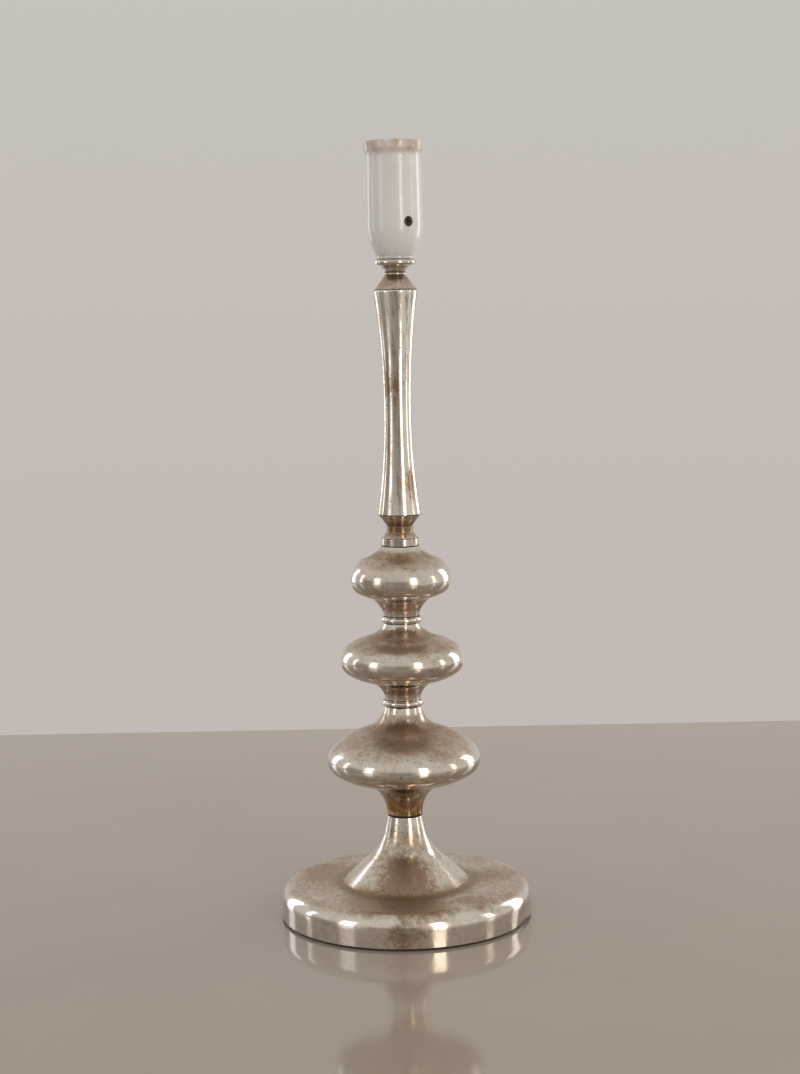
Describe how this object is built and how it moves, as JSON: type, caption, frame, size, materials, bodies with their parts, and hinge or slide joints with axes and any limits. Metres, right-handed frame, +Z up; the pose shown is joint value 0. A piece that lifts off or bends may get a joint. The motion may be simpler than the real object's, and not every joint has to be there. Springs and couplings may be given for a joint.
{
  "type": "candlestick lamp",
  "caption": "Tall table lamp base turned like a candlestick: round weighted foot, stacked knops, waisted shaft and a slim empty lampholder for a small screw-cap bulb.",
  "frame": {"origin": "centre of the felt's underside, on the surface the lamp stands on", "axes": "+Z up along the tie tube; -Y is the front that the picture shows; the cord inlet is at +Y"},
  "size_m": [0.1284, 0.1299, 0.3934],
  "materials": {
    "silver_plate": "worn silver plate on brass, polished with brown tarnish",
    "bare_brass": "turned brass",
    "bronze": "rolled phosphor bronze strip",
    "steel": "zinc plated",
    "cast_iron": "sand cast",
    "moulded_resin": "gloss",
    "black_plastic": "satin",
    "ceramic": "unglazed steatite",
    "felt": "matte"
  },
  "bodies": {
    "root": {"felt_pad": "felt", "bottom_plate": "steel", "plate_screws": "steel", "base_weight": "cast_iron", "base_shell": "silver_plate", "cord_bush": "black_plastic", "base_nut": "steel", "base_lock_washer": "steel", "base_washer": "steel", "tie_tube": "steel", "base_neck_ring": "bare_brass", "lower_knop": "silver_plate", "lower_bead_ring": "silver_plate", "middle_knop": "silver_plate", "upper_bead_ring": "silver_plate", "upper_knop": "silver_plate", "shaft_collar": "silver_plate", "shaft_foot": "silver_plate", "waisted_shaft": "silver_plate", "shaft_cap": "silver_plate", "holder_dish": "silver_plate", "holder_housing": "moulded_resin", "holder_entry_bush": "bare_brass", "retaining_screw": "steel", "contact_block": "ceramic", "thread_shell": "bare_brass", "shell_screws": "steel", "contact_root": "bronze", "contact_rivet": "bare_brass", "live_terminal": "bare_brass", "neutral_terminal": "bare_brass", "terminal_screws": "steel"},
    "contact": {"contact_arm": "bronze"}
  },
  "joints": [
    {"name": "contact_spring", "type": "hinge", "parent": "root", "child": "contact", "pos_m": [-0.0024, 0, 0.3646], "axis": [0, 1, 0], "range_deg": [0, 10], "stiffness_Nm_per_rad": 0.06}
  ]
}
